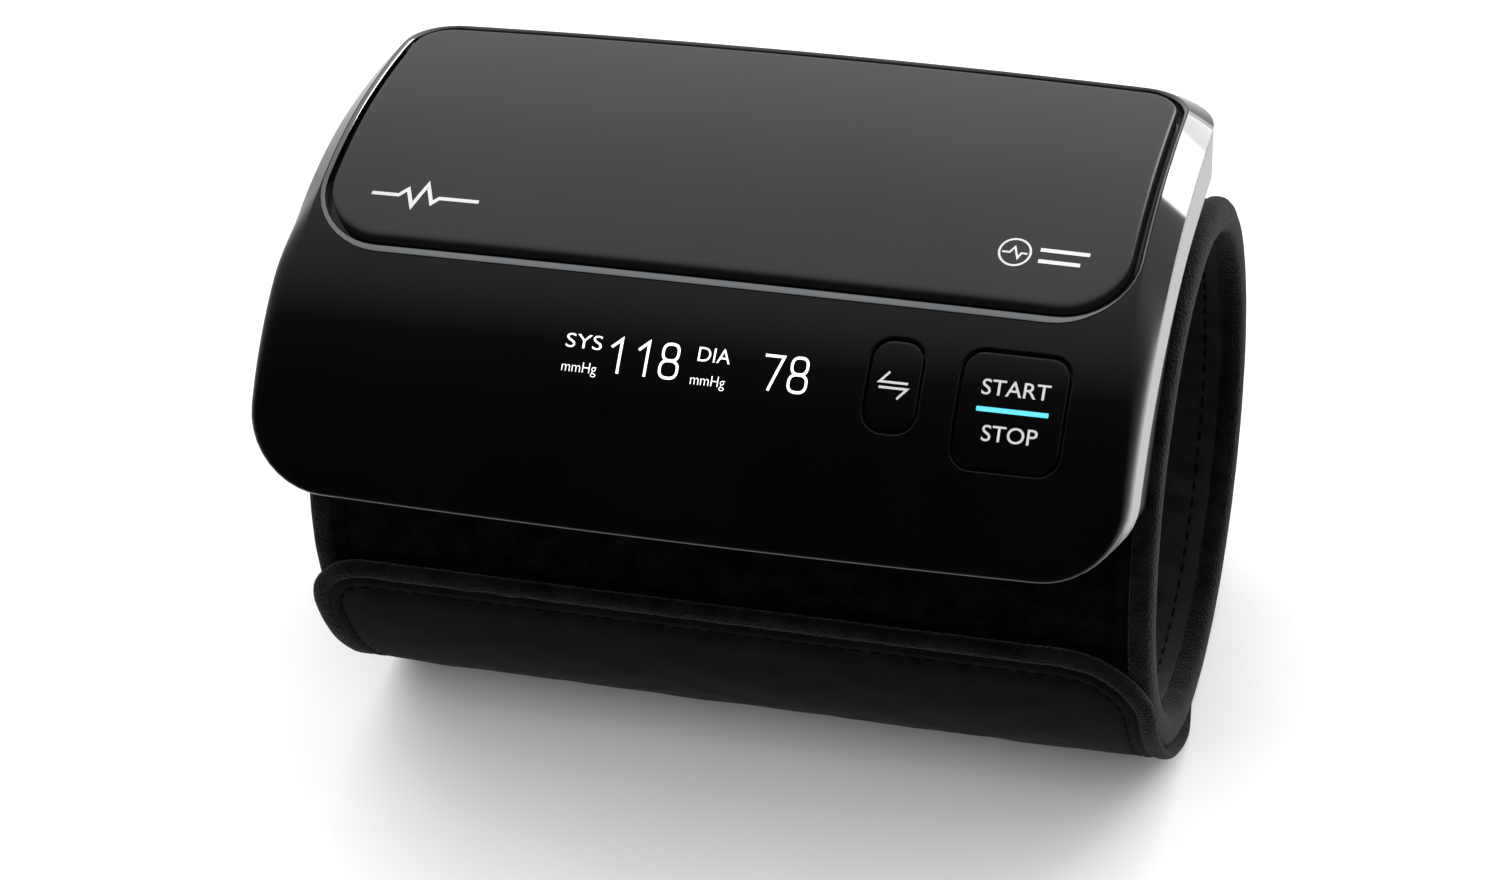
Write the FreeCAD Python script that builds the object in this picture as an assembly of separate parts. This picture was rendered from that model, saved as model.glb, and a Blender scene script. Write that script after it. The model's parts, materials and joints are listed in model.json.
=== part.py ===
import FreeCAD, Part
import math
import os

Vec = FreeCAD.Vector
X_AXIS = Vec(1, 0, 0)

# ---------------------------------------------------------------- driving dimensions (mm, degrees)
# Arm cuff: a ring round the X axis.
CUFF_INNER_R = 34.5        # arm opening, about 217 mm round
CUFF_OUTER_R = 39.5
CUFF_HALF = 60.4           # half the width along the arm
BINDING = 2.6              # width of the bound edges
BINDING_ROUND = 1.6
LINING_T = 0.8
BLADDER_T = 1.2
CORE_T = 0.8
PLATE_T = 0.8
PATCH_T = 0.4
LAYER_GAP = 0.1
WRAP_OUTER_R = 42.0        # outer end of the wrap, which ends in the pull flap
FLAP_CLEAR = 0.3
FREE_EDGE = 194.2          # the flap's free edge, on the front
PEEL_LINE = 250.0          # the flap bends here
WRAP_END = 306.0           # the wrap is sewn to the sleeve here
FLAP_CORNER = 9.0
PEEL_GAP = 0.5             # degrees between the flap and the wrap

# Monitor case: its front is three arcs in a row, from the upper back edge to the lower front edge.
CASE_ARCS = [(125.0, 14.0), (65.0, 28.0), (43.0, 40.0)]
CASE_START = (12.0, 53.4)  # upper back end of the parting line, from the ring's centre
CASE_START_TILT = -1.0
CASE_HALF = 60.6           # the case is 121 wide
CASE_CORNER = 12.0
FACE = 3.8                 # the front stands this far over the parting line
FACE_CHAMFER = 3.3
SKIN = 1.4
WALL = 1.6
RIM_H = 7.5                # height of the silver side band
RIM_T = 2.0
PART_LINE = 0.35
REAR_INSET = 1.2
SEAT_R = CUFF_OUTER_R + 0.1

# Battery cover and the bezel round it, as distances along the front from its upper edge.
COVER_FROM, COVER_TO = 10.0, 56.8
COVER_HALF = 55.5
COVER_CORNER = 7.0
COVER_T = 1.9
COVER_PROUD = 0.25
COVER_GAP = 0.4
BEZEL_W = 1.1

# Buttons: centre across, centre along the front, half width, half height.
START_STOP = (43.9, 71.3, 7.0, 7.3)
TRANSFER = (28.1, 69.6, 3.4, 5.7)
BUTTON_CORNER = 2.4
BUTTON_GAP = 0.3
BAR_HALF, BAR_H = 4.7, 0.7

# Inside the case.
BOARD_AT = 73.0
BOARD_OFF = -3.0
BOARD = (96.0, 24.0, 1.2)
CELL_R, CELL_L = 5.25, 44.5
CELL_ROWS = (18.2, 30.4)
CELL_OFF = -4.4
PUMP_R = 7.3
SHAFT_R = 1.0
SHAFT_FIT = 0.05           # radial running clearance of the motor's shaft
PUMP_DEPTH = 48.7
SCREWS = ((54.5, 66.0), (53.0, 83.0))

# The monitor is stored leaning back on a flat that its weight presses into the cuff.
REST_TILT = 16.0
REST_DEPTH = 39.9          # from the ring's centre to the flat

pieces = {}


# ---------------------------------------------------------------- the case's curved coordinates
def case_point(s, off):
    """Place on the case front: s along it, off outward. Returns y, z and the tilt in degrees."""
    y, z = CASE_START
    tilt = math.radians(CASE_START_TILT)
    left = s
    for index, (radius, sweep) in enumerate(CASE_ARCS):
        run = radius * math.radians(sweep)
        last = index == len(CASE_ARCS) - 1
        step = left if (last or left < run) else run
        turned = tilt + step / radius
        y -= radius * (math.sin(turned) - math.sin(tilt))
        z -= radius * (math.cos(tilt) - math.cos(turned))
        tilt = turned
        left -= step
        if left <= 0:
            break
    return y - off * math.sin(tilt), z + off * math.cos(tilt), math.degrees(tilt)


CASE_LENGTH = sum(radius * math.radians(sweep) for radius, sweep in CASE_ARCS)


def on_case(s, off, x=0.0):
    """A placement whose Z is the case front's outward normal and whose Y runs up the front."""
    y, z, tilt = case_point(s, off)
    return FreeCAD.Placement(Vec(x, y, z), FreeCAD.Rotation(X_AXIS, tilt))


def case_curve(off, s1, s2):
    """Edges of the front curve, moved outward by off, from s1 to s2."""
    breaks = [0.0]
    for radius, sweep in CASE_ARCS:
        breaks.append(breaks[-1] + radius * math.radians(sweep))
    stops = [s1] + [b for b in breaks[1:-1] if s1 < b < s2] + [s2]
    edges = []
    for a, b in zip(stops, stops[1:]):
        points = [Vec(0, *case_point(s, off)[:2]) for s in (a, (a + b) / 2, b)]
        edges.append(Part.Arc(*points).toShape())
    return edges


def slab(low, high, s1, s2, half, corner=0.0, x=0.0):
    """A curved plate between two offsets of the case front, with its four corners rounded."""
    ends = []
    for s in (s1, s2):
        inner, outer = (Vec(0, *case_point(s, off)[:2]) for off in (low, high))
        ends.append(Part.makeLine(inner, outer))
    edges = case_curve(high, s1, s2) + case_curve(low, s1, s2) + ends
    face = Part.Face(Part.Wire(Part.__sortEdges__(edges)))
    solid = face.extrude(Vec(2 * half, 0, 0))
    solid.translate(Vec(x - half, 0, 0))
    if corner:
        solid = solid.makeFillet(corner, upright_edges(solid))
    return solid


def upright_edges(solid):
    """Straight edges that don't run along X."""
    found = []
    for edge in solid.Edges:
        if isinstance(edge.Curve, Part.Line) and abs(edge.Vertexes[0].X - edge.Vertexes[1].X) < 1e-6:
            found.append(edge)
    return found


# ---------------------------------------------------------------- the cuff's round coordinates
def ring_point(radius, angle, x=0.0):
    turn = math.radians(angle)
    return Vec(x, radius * math.cos(turn), radius * math.sin(turn))


def on_ring(angle, radius, x=0.0):
    """A placement whose Z points away from the ring's axis."""
    return FreeCAD.Placement(ring_point(radius, angle, x), FreeCAD.Rotation(X_AXIS, angle - 90))


def tube(inner, outer, x1, x2):
    body = Part.makeCylinder(outer, x2 - x1, Vec(x1, 0, 0), X_AXIS)
    return body.cut(Part.makeCylinder(inner, x2 - x1 + 2, Vec(x1 - 1, 0, 0), X_AXIS))


def sector(inner, outer, a1, a2, x1, x2, corner=0.0, round_start_only=False):
    """Part of a tube between two angles; its radial edges are rounded by corner."""
    middle = (a1 + a2) / 2
    outside = Part.Arc(*[ring_point(outer, a) for a in (a1, middle, a2)]).toShape()
    inside = Part.Arc(*[ring_point(inner, a) for a in (a1, middle, a2)]).toShape()
    ends = [Part.makeLine(ring_point(inner, a), ring_point(outer, a)) for a in (a1, a2)]
    face = Part.Face(Part.Wire(Part.__sortEdges__([outside, inside] + ends)))
    solid = face.extrude(Vec(x2 - x1, 0, 0))
    solid.translate(Vec(x1, 0, 0))
    if corner:
        edges = upright_edges(solid)
        if round_start_only:
            start = ring_point((inner + outer) / 2, a1, (x1 + x2) / 2)
            edges = [e for e in edges if math.dist(e.CenterOfMass[1:], start[1:]) < 1]
        solid = solid.makeFillet(corner, edges)
    return solid


# ---------------------------------------------------------------- small shapes
def box(size, place, lift=0.0):
    """A box centred on its placement, raised along its own Z."""
    solid = Part.makeBox(*size, Vec(-size[0] / 2, -size[1] / 2, lift))
    solid.Placement = place
    return solid


def rod(radius, low, high, place):
    """A cylinder along its placement's Z."""
    solid = Part.makeCylinder(radius, high - low, Vec(0, 0, low))
    solid.Placement = place
    return solid


def bar(radius, x1, x2, y, z):
    """A cylinder along X."""
    return Part.makeCylinder(radius, x2 - x1, Vec(x1, y, z), X_AXIS)


def coil(radius, wire, pitch, height, place):
    """A round wire spring along its placement's Z."""
    path = Part.makeHelix(pitch, height, radius)
    section = Part.Wire([Part.makeCircle(wire / 2, Vec(radius, 0, 0), Vec(0, 1, 0))])
    spring = Part.Wire(path.Edges).makePipeShell([section], True, True)
    spring.Placement = place
    return spring


def union(shapes):
    result = shapes[0]
    for shape in shapes[1:]:
        result = result.fuse(shape)
    return result.removeSplitter()


# ---------------------------------------------------------------- case
def case_block():
    """The front of the case with its chamfered edge."""
    block = slab(0, FACE, 0, CASE_LENGTH, CASE_HALF, CASE_CORNER)
    outer = {round(radius + FACE, 3) for radius, _ in CASE_ARCS}
    top = []
    for face in block.Faces:
        if isinstance(face.Surface, Part.Cylinder) and round(face.Surface.Radius, 3) in outer:
            top.append(face)
    edges = [e for face in top for e in face.Edges]
    once = [e for e in edges if sum(e.isSame(other) for other in edges) == 1]
    return block.makeChamfer(FACE_CHAMFER, once)


def screw_places():
    return [on_case(s, 0, sign * x) for x, s in SCREWS for sign in (1, -1)]


def button_hole(spec, grow, low=-1.0, high=FACE + 1):
    x, s, half, tall = spec
    return slab(low, high, s - tall - grow, s + tall + grow, half + grow, BUTTON_CORNER + grow, x)


def bezel_outline(low, high):
    grow = COVER_GAP + BEZEL_W
    return slab(low, high, COVER_FROM - grow, COVER_TO + grow, COVER_HALF + grow, COVER_CORNER + grow)


def cover_opening(low, high):
    return slab(low, high, COVER_FROM - COVER_GAP, COVER_TO + COVER_GAP, COVER_HALF + COVER_GAP,
                COVER_CORNER + COVER_GAP)


def make_case():
    block = case_block()
    recess_floor = FACE - COVER_T - 0.1
    ledge = 2.4
    edge = WALL + 1
    inside = slab(-1, FACE - SKIN, edge, CASE_LENGTH - edge, CASE_HALF - edge, CASE_CORNER - 2)
    shell = block.cut(inside)
    shelf = slab(recess_floor - SKIN, recess_floor, WALL, COVER_TO + 4, CASE_HALF - WALL, CASE_CORNER - 2)
    shelf = shelf.common(block)
    way_in = slab(-2, FACE + 1, COVER_FROM + ledge, COVER_TO - ledge, COVER_HALF - ledge, COVER_CORNER - 2)
    shell = shell.fuse(shelf).cut(bezel_outline(recess_floor, FACE + 1)).cut(way_in)
    bosses = [rod(2.6, 0.0, FACE - SKIN / 2, place) for place in screw_places()]
    shell = union([shell] + bosses)
    for place in screw_places():
        shell = shell.cut(rod(1.2, -3, 1.6, place))
    shell = shell.cut(button_hole(START_STOP, BUTTON_GAP)).cut(button_hole(TRANSFER, BUTTON_GAP))
    pieces["front_shell"] = shell

    bezel = bezel_outline(recess_floor, FACE).common(block)
    pieces["panel_bezel"] = bezel.cut(cover_opening(recess_floor - 1, FACE + 1))
    cover = slab(FACE - COVER_T, FACE + COVER_PROUD, COVER_FROM, COVER_TO, COVER_HALF, COVER_CORNER)
    pieces["battery_cover"] = cover

    rim = slab(-RIM_H, -PART_LINE, 0, CASE_LENGTH, CASE_HALF, CASE_CORNER)
    inside_rim = slab(-RIM_H - 1, 1, RIM_T, CASE_LENGTH - RIM_T, CASE_HALF - RIM_T, CASE_CORNER - RIM_T)
    pieces["side_rim"] = rim.cut(inside_rim)

    deep = -26.0
    lower = slab(deep, -RIM_H, REAR_INSET, CASE_LENGTH - REAR_INSET, CASE_HALF - REAR_INSET,
                 CASE_CORNER - REAR_INSET)
    inset = RIM_T + 0.1
    upper = slab(-RIM_H - 1, -0.02, inset, CASE_LENGTH - inset, CASE_HALF - inset, CASE_CORNER - inset)
    inset += WALL
    hollow = slab(deep - 1, 1, inset, CASE_LENGTH - inset, CASE_HALF - inset, CASE_CORNER - inset)
    hollow = hollow.cut(bar(SEAT_R + WALL, -70, 70, 0, 0))
    rear = lower.fuse(upper).cut(hollow)
    rear_bosses = [rod(3.2, deep, -0.05, place).common(lower.fuse(upper)) for place in screw_places()]
    rear = union([rear] + rear_bosses).cut(bar(SEAT_R, -70, 70, 0, 0))
    for place in screw_places():
        rear = rear.cut(rod(1.35, deep, 0, place)).cut(rod(2.7, deep, -15.2, place))
    port = air_port_place()
    rear = rear.cut(rod(2.7, -10, 4, port))
    for place in plate_screw_places():
        rear = rear.cut(rod(1.25, -1, 1.6, place))
    pieces["rear_shell"] = rear

    screws = [rod(1.1, -15.2, 1.4, place).fuse(rod(2.4, -16.9, -15.2, place)) for place in screw_places()]
    pieces["case_screws"] = Part.makeCompound(screws)


def make_buttons():
    x, s, half, tall = START_STOP
    flange = 0.7

    def button(spec):
        cap = button_hole(spec, 0, 1.5, FACE)
        skirt = button_hole(spec, flange, 1.2, FACE - SKIN - 0.2)
        stem = rod(1.6, 0.05, 1.6, on_case(spec[1], 0, spec[0]))
        return union([cap, skirt, stem])

    slot = slab(FACE - 0.8, FACE + 1, s - BAR_H / 2, s + BAR_H / 2, BAR_HALF, 0, x)
    pieces["start_stop_button"] = button(START_STOP).cut(slot)
    pieces["light_bar"] = slab(FACE - 0.8, FACE, s - BAR_H / 2, s + BAR_H / 2, BAR_HALF, 0, x)
    pieces["transfer_button"] = button(TRANSFER)


# ---------------------------------------------------------------- electronics
def board_place(x=0.0, up=0.0):
    """On the board's middle plane; up is the distance up the front from its centre."""
    place = on_case(BOARD_AT, BOARD_OFF, x)
    return place.multiply(FreeCAD.Placement(Vec(0, up, 0), FreeCAD.Rotation()))


def make_electronics():
    top = BOARD[2] / 2
    board = box(BOARD, board_place(), -top)
    pieces["main_board"] = board
    pieces["display_module"] = box((42.0, 13.0, 1.8), board_place(-0.3, 2.6), top)
    for name, spec in (("start_stop_switch", START_STOP), ("transfer_switch", TRANSFER)):
        place = board_place(spec[0], BOARD_AT - spec[1])
        body = box((4.5, 4.5, 1.2), place, top)
        pieces[name] = body.fuse(rod(1.1, top + 1.2, top + 1.5, place)).removeSplitter()
    pieces["processor"] = box((9.0, 9.0, 1.2), board_place(-31.0, 2.0), top)
    pieces["wireless_module"] = box((8.0, 11.0, 1.6), board_place(-42.0, 2.0), top)
    sensor = box((7.0, 6.0, 2.2), board_place(38.0, 0.0), -top - 2.2)
    pieces["pressure_sensor"] = sensor.fuse(rod(1.2, -top - 3.4, -top - 2.2, board_place(38.0, 0.0)))


# ---------------------------------------------------------------- pump, valve and air lines
def pump_place(x=0.0, up=0.0):
    """On the pump's axis, under the board; Z points at the board."""
    tilt = case_point(BOARD_AT, 0)[2]
    place = on_ring(tilt + 90, PUMP_DEPTH, x)
    return place.multiply(FreeCAD.Placement(Vec(0, up, 0), FreeCAD.Rotation()))


def along_x(radius, x1, x2, up=0.0, lift=0.0):
    base = pump_place(0, up).multVec(Vec(0, 0, lift))
    return bar(radius, x1, x2, base.y, base.z)


def air_port_place():
    return on_ring(case_point(BOARD_AT, 0)[2] + 90, SEAT_R, 38.0)


def make_pump():
    can = along_x(PUMP_R, -16, 10).cut(along_x(PUMP_R - 0.8, -15.2, 9.2))
    pieces["motor_can"] = can.cut(along_x(SHAFT_R + SHAFT_FIT, -17, 12))
    pieces["rotor_core"] = along_x(5.2, -12, 4).cut(along_x(SHAFT_R, -13, 5))
    pieces["motor_shaft"] = along_x(SHAFT_R, -15.8, 17.5)
    pieces["drive_cam"] = along_x(2.8, 13, 17, 0.8).cut(along_x(SHAFT_R, 12, 18))
    head = along_x(PUMP_R, 10, 28).cut(along_x(PUMP_R - 1.2, 11, 20)).cut(along_x(PUMP_R - 1.6, 21.5, 26.5))
    head = head.cut(along_x(SHAFT_R + SHAFT_FIT, 9, 12)).cut(along_x(1.0, 26, 29))
    pieces["pump_head"] = head
    pieces["pump_diaphragm"] = along_x(PUMP_R - 1.65, 22, 22.8)
    tilt = case_point(BOARD_AT, 0)[2] + 90
    cradle = sector(SEAT_R + WALL + 0.05, PUMP_DEPTH - 3, tilt - 9, tilt + 9, -13, 7)
    pieces["pump_mount"] = cradle.cut(along_x(PUMP_R, -14, 8))

    manifold = box((9.0, 9.0, 8.5), pump_place(38.0), -4.5).cut(along_x(1.0, 32, 39))
    manifold = manifold.cut(rod(1.0, -6, 5, pump_place(38.0)))
    pieces["air_manifold"] = manifold
    pieces["pump_tube"] = along_x(2.0, 28, 33.5).cut(along_x(1.0, 27, 34))
    reach = PUMP_DEPTH - SEAT_R - 4.5
    port = rod(2.5, -3.0, reach, air_port_place())
    pieces["air_port"] = port.cut(rod(1.0, -4, reach + 1, air_port_place()))
    pieces["valve_tube"] = valve_tube()


def valve_tube():
    """A tube from the manifold round the pump to the valve, in one plane."""
    bend, far, near = 4.0, 12.5, 4.5
    right, left = 38.0, -31.0
    turn = bend * (1 - math.sqrt(0.5))

    def points(*pairs):
        return [Vec(x, y, 0) for x, y in pairs]

    edges = [
        Part.makeLine(*points((right, near), (right, far - bend))),
        Part.Arc(*points((right, far - bend), (right - turn, far - turn), (right - bend, far))).toShape(),
        Part.makeLine(*points((right - bend, far), (left + bend, far))),
        Part.Arc(*points((left + bend, far), (left + turn, far - turn), (left, far - bend))).toShape(),
        Part.makeLine(*points((left, far - bend), (left, near + 1.5))),
    ]
    path = Part.Wire(edges)
    start = Vec(right, near, 0)
    walls = []
    for radius in (2.0, 1.0):
        section = Part.Wire([Part.makeCircle(radius, start, Vec(0, 1, 0))])
        walls.append(path.makePipeShell([section], True, True))
    hose = walls[0].cut(walls[1])
    hose.Placement = pump_place()
    return hose


def make_valve():
    frame = along_x(6.0, -42, -26).cut(along_x(5.2, -41.2, -25))
    frame = frame.fuse(along_x(5.2, -27, -26).cut(along_x(2.6, -28, -25)))
    pieces["valve_frame"] = frame.removeSplitter()
    pieces["valve_coil"] = along_x(5.1, -41.1, -27.2).cut(along_x(2.6, -42, -26))
    pieces["valve_plunger"] = along_x(2.4, -37.1, -24.5)
    spring_place = FreeCAD.Placement(pump_place(-40.8).Base, FreeCAD.Rotation(Vec(0, 0, 1), X_AXIS))
    pieces["valve_spring"] = coil(1.7, 0.5, 0.9, 3.4, spring_place)


# ---------------------------------------------------------------- batteries
def cell_places():
    middle = CELL_L / 2 + 1.2
    return [on_case(s, CELL_OFF, sign * middle) for s in CELL_ROWS for sign in (-1, 1)]


def contact_leaf(place, sign):
    """A curved strip that presses on the end of a battery; sign is the side of the bay it is on."""
    radius, bulge, strip = 3.5, 1.2, 0.3
    centre = Vec(bulge - radius, -1.5, 0)
    leaf = Part.makeCylinder(radius, 3, centre, Vec(0, 1, 0))
    leaf = leaf.cut(Part.makeCylinder(radius - strip, 3, centre, Vec(0, 1, 0)))
    leaf = leaf.common(Part.makeBox(4, 6, 10, Vec(0, -3, -5)))
    facing = FreeCAD.Rotation(Vec(0, 0, 1), 90 + 90 * sign)
    leaf.Placement = place.multiply(FreeCAD.Placement(Vec(0, 0, 0), facing))
    return leaf


def make_batteries():
    half = CELL_L + 5.0
    tray = slab(-11.4, -1.2, 11.8, 37.0, half, 1.0).cut(bar(SEAT_R + WALL + 0.1, -70, 70, 0, 0))
    for index, place in enumerate(cell_places(), 1):
        x = place.Base.x
        long = CELL_L / 2
        cell = bar(CELL_R, x - long + 0.8, x + long, place.Base.y, place.Base.z)
        nub = bar(1.9, x - long, x - long + 0.8, place.Base.y, place.Base.z)
        pieces["battery_%d" % index] = cell.fuse(nub).removeSplitter()
    for s in CELL_ROWS:
        place = on_case(s, CELL_OFF)
        bay = bar(CELL_R + 0.15, -half + 1.5, half - 1.5, place.Base.y, place.Base.z)
        above = box((2 * half - 3, 2 * CELL_R + 0.3, 12.0), place, 0)
        tray = tray.cut(bay).cut(above)
    pieces["battery_tray"] = tray

    plates, springs = [], []
    for s in CELL_ROWS:
        for sign in (-1, 1):
            wall = half - 1.5
            plates.append(box((0.4, 7.0, 7.0), on_case(s, CELL_OFF, sign * (wall - 0.2)), -3.5))
            springs.append(contact_leaf(on_case(s, CELL_OFF, sign * (wall - 0.4)), sign))
    pieces["contact_plates"] = Part.makeCompound(plates)
    pieces["contact_springs"] = Part.makeCompound(springs)


# ---------------------------------------------------------------- cuff
def plate_screw_places():
    return [on_ring(angle, SEAT_R, sign * 30.0) for angle in (108.0, 128.0) for sign in (1, -1)]


def with_port_holes(shape, radius=2.7):
    return shape.cut(rod(radius, -8, 2, air_port_place()))


def rest_cut():
    """The space under the flat that the monitor rests on."""
    down = -90 + REST_TILT
    return box((200.0, 120.0, 40.0), on_ring(down, REST_DEPTH), 0)


def make_cuff():
    end = CUFF_HALF - BINDING
    inside = CUFF_INNER_R
    pieces["inner_lining"] = tube(inside, inside + LINING_T, -end, end)
    inside += LINING_T + LAYER_GAP
    bladder = sector(inside, inside + BLADDER_T, -60, 225, -end + 6, end - 6, 4)
    pieces["bladder"] = bladder.cut(rod(1.0, -6, 1, air_port_place()))
    inside += BLADDER_T + LAYER_GAP
    pieces["curl_core"] = with_port_holes(sector(inside, inside + CORE_T, -75, 232, -end + 3, end - 3, 5))
    inside += CORE_T + LAYER_GAP
    plate = with_port_holes(sector(inside, inside + PLATE_T, 92, 158, -48, 48, 5))
    padding = sector(inside, inside + PLATE_T, 160, 450, -end + 1, end - 1)
    for place in plate_screw_places():
        plate = plate.cut(rod(1.25, -4, 1, place))
    pieces["mounting_plate"] = plate
    inside += PLATE_T
    pieces["padding"] = padding
    inside += LAYER_GAP
    sleeve = with_port_holes(tube(inside, CUFF_OUTER_R - PATCH_T, -end, end))
    for place in plate_screw_places():
        sleeve = sleeve.cut(rod(1.25, -4, 1, place))
    pieces["outer_sleeve"] = sleeve
    loop = sector(CUFF_OUTER_R - PATCH_T, CUFF_OUTER_R, 60, PEEL_LINE + 2, -end, end)
    loop = with_port_holes(loop)
    for place in plate_screw_places():
        loop = loop.cut(rod(1.25, -4, 1, place))
    pieces["loop_patch"] = loop
    screws = [rod(1.1, -1.9, 1.5, place) for place in plate_screw_places()]
    pieces["plate_screws"] = Part.makeCompound(screws)

    for name, side in (("binding_right", 1), ("binding_left", -1)):
        low, high = sorted((side * end, side * CUFF_HALF))
        ring = tube(CUFF_INNER_R, CUFF_OUTER_R, low, high)
        outer_edges = []
        for edge in ring.Edges:
            if abs(edge.BoundBox.XMin - side * CUFF_HALF) < 1e-3 and edge.BoundBox.XLength < 1e-3:
                outer_edges.append(edge)
        pieces[name] = ring.makeFillet(BINDING_ROUND, outer_edges)


def make_wrap():
    half = CUFF_HALF + 0.6
    inner = CUFF_OUTER_R + 0.02
    wrap = sector(inner, WRAP_OUTER_R, PEEL_LINE + PEEL_GAP, WRAP_END, -half, half)
    pieces["outer_wrap"] = wrap.cut(rest_cut())

    hook_inner = CUFF_OUTER_R + FLAP_CLEAR
    hook_outer = hook_inner + PATCH_T
    whole = sector(hook_outer, WRAP_OUTER_R, FREE_EDGE, PEEL_LINE - PEEL_GAP, -half, half, FLAP_CORNER, True)
    edge = math.degrees(BINDING / WRAP_OUTER_R)
    across = half - BINDING
    middle = sector(hook_outer - 1, WRAP_OUTER_R + 1, FREE_EDGE + edge, PEEL_LINE + 10, -across, across,
                    FLAP_CORNER - BINDING, True)
    pieces["flap"] = whole.common(middle)
    pieces["flap_binding"] = whole.cut(middle)
    pieces["hook_patch"] = sector(hook_inner, hook_outer, FREE_EDGE + 6, PEEL_LINE - 6, -half + 8, half - 8)


# ---------------------------------------------------------------- build, stand on the flat and export
def main():
    make_case()
    make_buttons()
    make_electronics()
    make_pump()
    make_valve()
    make_batteries()
    make_cuff()
    make_wrap()

    lean = FreeCAD.Placement(Vec(0, 0, 0), FreeCAD.Rotation(X_AXIS, -REST_TILT))
    for shape in pieces.values():
        shape.Placement = lean.multiply(shape.Placement)
    bounds = Part.makeCompound(list(pieces.values())).BoundBox
    stand = Vec(-bounds.Center.x, -bounds.Center.y, REST_DEPTH)
    os.makedirs("parts", exist_ok=True)
    for name, shape in pieces.items():
        shape.translate(stand)
        shape.exportStep("parts/%s.step" % name)
        print("%-20s solids %d valid %s volume %.0f" % (name, len(shape.Solids), shape.isValid(), shape.Volume))
    print("ring centre", stand)


main()
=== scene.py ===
import json
import math

import bmesh
import bpy
import numpy as np
from mathutils import Matrix, Vector, geometry


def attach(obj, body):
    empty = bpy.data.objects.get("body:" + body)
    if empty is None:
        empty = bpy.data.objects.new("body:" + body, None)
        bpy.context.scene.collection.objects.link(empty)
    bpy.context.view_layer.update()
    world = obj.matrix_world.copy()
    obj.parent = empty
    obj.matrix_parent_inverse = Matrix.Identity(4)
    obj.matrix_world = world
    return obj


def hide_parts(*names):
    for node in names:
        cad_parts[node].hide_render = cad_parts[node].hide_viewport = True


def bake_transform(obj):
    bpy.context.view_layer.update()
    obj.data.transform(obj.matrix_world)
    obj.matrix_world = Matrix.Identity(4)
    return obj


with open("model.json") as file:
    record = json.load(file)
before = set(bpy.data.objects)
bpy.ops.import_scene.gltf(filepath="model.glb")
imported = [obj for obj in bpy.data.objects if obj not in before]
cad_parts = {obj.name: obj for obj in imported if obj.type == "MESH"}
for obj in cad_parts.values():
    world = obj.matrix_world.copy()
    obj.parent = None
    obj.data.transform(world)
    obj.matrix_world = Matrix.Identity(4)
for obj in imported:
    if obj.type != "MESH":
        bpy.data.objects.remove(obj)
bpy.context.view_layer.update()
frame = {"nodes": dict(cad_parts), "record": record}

MM = 0.001

# ---------------------------------------------------------------- the CAD model's shape (mm, degrees)
CASE_ARCS = ((125.0, 14.0), (65.0, 28.0), (43.0, 40.0))
CASE_START = (12.0, 53.4)
CASE_START_TILT = -1.0
CASE_HALF = 60.6
CASE_LENGTH = sum(radius * math.radians(sweep) for radius, sweep in CASE_ARCS)
FACE = 3.8                     # the gloss front over the parting line
PANEL = 4.05                   # the battery cover over it
REST_TILT = math.radians(16.0)
SEAT_R = 39.6                  # the case rests on the cuff here
CUFF_HALF = 60.4
WRAP_R = 42.0                  # outside of the wrap that ends in the flap
FREE_EDGE, PEEL_LINE, WRAP_END = 194.2, 250.0, 306.0
START_STOP = (43.9, 71.3, 7.0, 7.3)
TRANSFER = (28.1, 69.6, 3.4, 5.7)
opening = next(m for m in frame["record"]["mounts"] if m["name"] == "arm_opening")
RING_CENTRE = np.array(opening["pos_m"])


# ---------------------------------------------------------------- places
def to_row(x, y, z):
    """Ring coordinates in mm to the row frame in metres."""
    turn_c, turn_s = math.cos(REST_TILT), math.sin(REST_TILT)
    x, y, z = np.broadcast_arrays(x, y, z)
    stack = np.stack([x, y * turn_c + z * turn_s, z * turn_c - y * turn_s], axis=-1)
    return stack * MM + RING_CENTRE


def case_curve(s):
    """y, z and tilt of the case front at the distance s along it."""
    s = np.asarray(s, float)
    y = np.full(s.shape, CASE_START[0])
    z = np.full(s.shape, CASE_START[1])
    tilt = np.full(s.shape, math.radians(CASE_START_TILT))
    left = s.copy()
    for index, (radius, sweep) in enumerate(CASE_ARCS):
        last = index == len(CASE_ARCS) - 1
        step = left if last else np.minimum(left, radius * math.radians(sweep))
        turned = tilt + step / radius
        y = y - radius * (np.sin(turned) - np.sin(tilt))
        z = z - radius * (np.cos(tilt) - np.cos(turned))
        tilt = turned
        left = left - step
    return y, z, tilt


def smoothstep(low, high, value):
    t = np.clip((np.asarray(value, float) - low) / (high - low), 0, 1)
    return t * t * (3 - 2 * t)


def case_place(x, s, off):
    """A point on the case: x across, s along the front, off outward. The case is slightly barrelled."""
    x, s, off = (np.asarray(v, float) for v in (x, s, off))
    u = x / CASE_HALF
    t = np.clip(s / CASE_LENGTH, 0, 1)
    upper = 0.8 * (np.clip(0.6 - t, 0, 1) / 0.6) ** 2
    lower = 0.3 * (np.clip(t - 0.6, 0, 1) / 0.4) ** 2
    x = x * (1 - (upper + lower) / CASE_HALF)
    s = s + u ** 2 * np.where(t < 0.5, 0.9, 0.45) * (1 - 2 * t)
    off = off - 0.8 * u ** 2
    y, z, tilt = case_curve(s)
    return to_row(x, y - off * np.sin(tilt), z + off * np.cos(tilt))


def ring_place(x, angle, radius):
    turn = np.radians(angle)
    x, turn, radius = np.broadcast_arrays(x, turn, radius)
    return to_row(x, radius * np.cos(turn), radius * np.sin(turn))


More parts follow.
